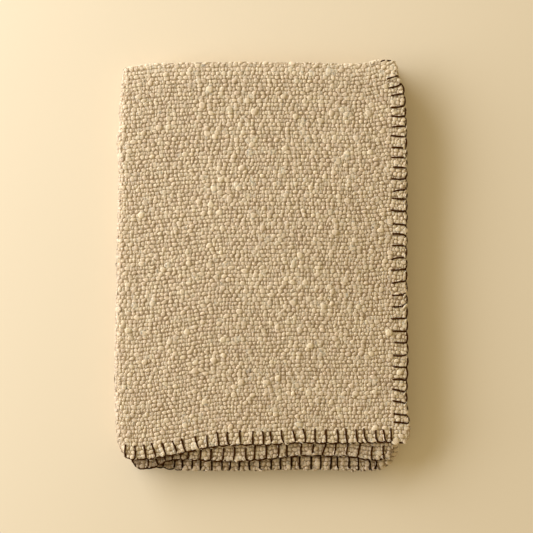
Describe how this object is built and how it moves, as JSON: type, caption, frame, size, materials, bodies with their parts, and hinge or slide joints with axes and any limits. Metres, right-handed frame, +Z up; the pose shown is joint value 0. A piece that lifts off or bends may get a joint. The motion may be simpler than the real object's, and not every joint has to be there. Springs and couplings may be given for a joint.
{
  "type": "boucle throw",
  "caption": "Folded boucle throw: one thick woven panel, halved and laid back and forth in eight layers, its edges blanket-stitched.",
  "frame": {"origin": "middle of the underside of the folded throw, on the surface that it rests on", "axes": "+Z up; +Y towards the end where the cloth is halved, with the stacked hems at -Y; +X towards the side hem of the top layer"},
  "size_m": [0.4448, 0.6202, 0.0464],
  "materials": {
    "boucle_wool": "looped and nubby wool boucle, matt, cream beige",
    "edge_yarn": "dark brown wool yarn of the blanket stitch, matt"
  },
  "bodies": {
    "root": {"throw_cloth": "boucle_wool"}
  },
  "joints": []
}
